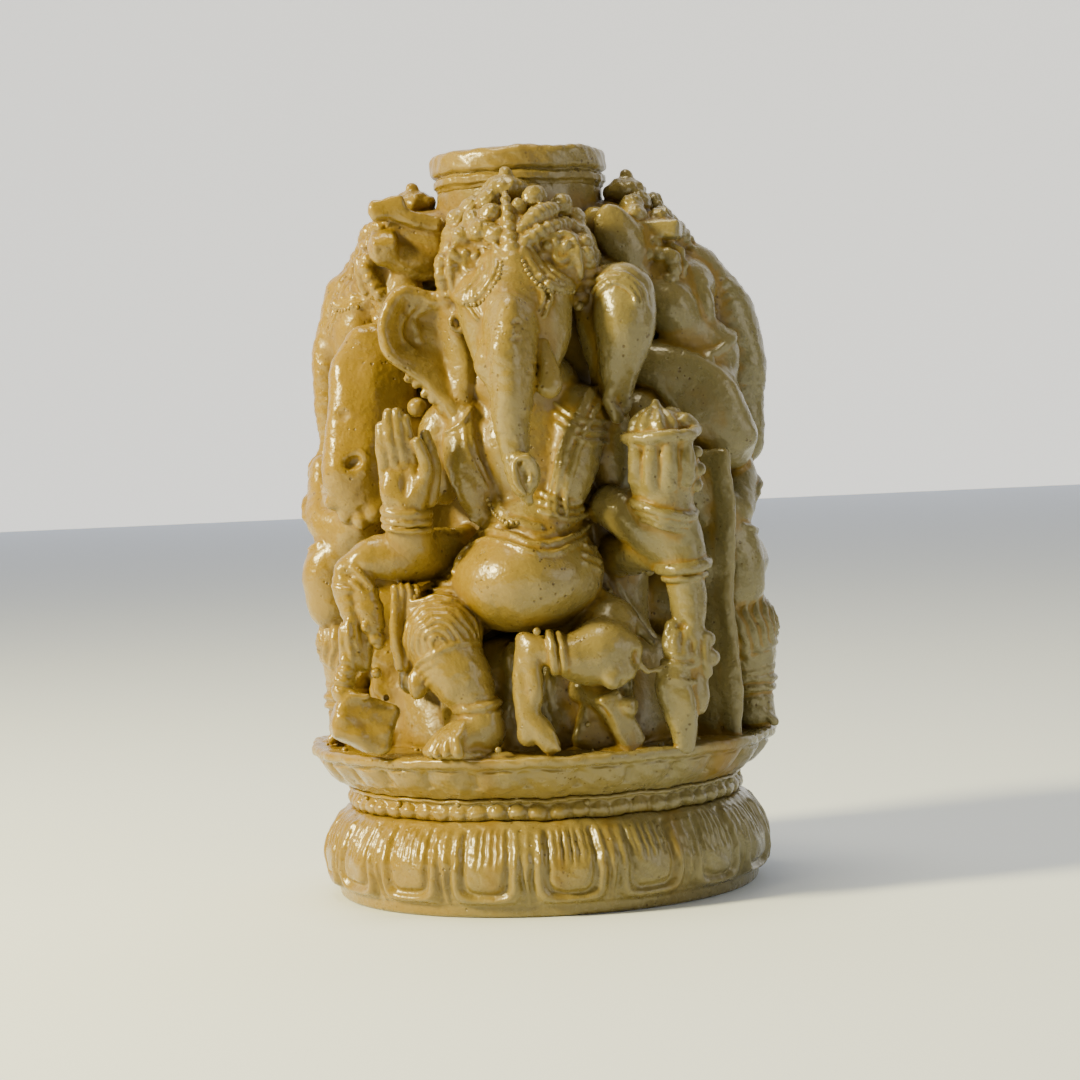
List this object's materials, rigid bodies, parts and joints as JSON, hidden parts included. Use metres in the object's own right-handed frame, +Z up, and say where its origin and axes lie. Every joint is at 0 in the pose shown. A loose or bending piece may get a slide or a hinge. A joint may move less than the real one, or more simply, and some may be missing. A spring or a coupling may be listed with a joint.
{
  "type": "ganesha idol",
  "caption": "Small cast devotional idol: seated elephant-headed figures back to back round a pillar, on a round lotus plinth with a flat cap.",
  "frame": {"origin": "centre of the underside of the lotus plinth, on the pillar's axis", "axes": "+Z up along the pillar; -Y is the way the front figure faces; +X is the front figure's left-hand side"},
  "size_m": [0.077, 0.077, 0.12],
  "materials": {
    "cast_resin": "glossy cream casting resin, yellowed and with brown dirt in the recesses"
  },
  "bodies": {
    "root": {"back_axe": "cast_resin", "back_axe_arm": "cast_resin", "back_bent_leg": "cast_resin", "back_blessing_arm": "cast_resin", "back_bowl_arm": "cast_resin", "back_bud_arm": "cast_resin", "back_ear_left": "cast_resin", "back_ear_right": "cast_resin", "back_folded_leg": "cast_resin", "back_head": "cast_resin", "back_headdress": "cast_resin", "back_lotus_bud": "cast_resin", "back_mouse": "cast_resin", "back_sweet_bowl": "cast_resin", "back_torso": "cast_resin", "back_trunk": "cast_resin", "back_trunk_sweet": "cast_resin", "back_tusks": "cast_resin", "corner_panels": "cast_resin", "front_axe": "cast_resin", "front_axe_arm": "cast_resin", "front_bent_leg": "cast_resin", "front_blessing_arm": "cast_resin", "front_bowl_arm": "cast_resin", "front_bud_arm": "cast_resin", "front_ear_left": "cast_resin", "front_ear_right": "cast_resin", "front_folded_leg": "cast_resin", "front_head": "cast_resin", "front_headdress": "cast_resin", "front_lotus_bud": "cast_resin", "front_mouse": "cast_resin", "front_sweet_bowl": "cast_resin", "front_torso": "cast_resin", "front_trunk": "cast_resin", "front_trunk_sweet": "cast_resin", "front_tusks": "cast_resin", "left_ear_left": "cast_resin", "left_ear_right": "cast_resin", "left_head": "cast_resin", "left_headdress": "cast_resin", "left_legs": "cast_resin", "left_raised_hands": "cast_resin", "left_torso": "cast_resin", "left_trunk": "cast_resin", "neck_cap": "cast_resin", "pillar_with_neck": "cast_resin", "plinth_bead_band": "cast_resin", "plinth_lotus": "cast_resin", "plinth_saucer": "cast_resin", "right_ear_left": "cast_resin", "right_ear_right": "cast_resin", "right_head": "cast_resin", "right_headdress": "cast_resin", "right_legs": "cast_resin", "right_raised_hands": "cast_resin", "right_torso": "cast_resin", "right_trunk": "cast_resin", "seat": "cast_resin"}
  },
  "joints": []
}
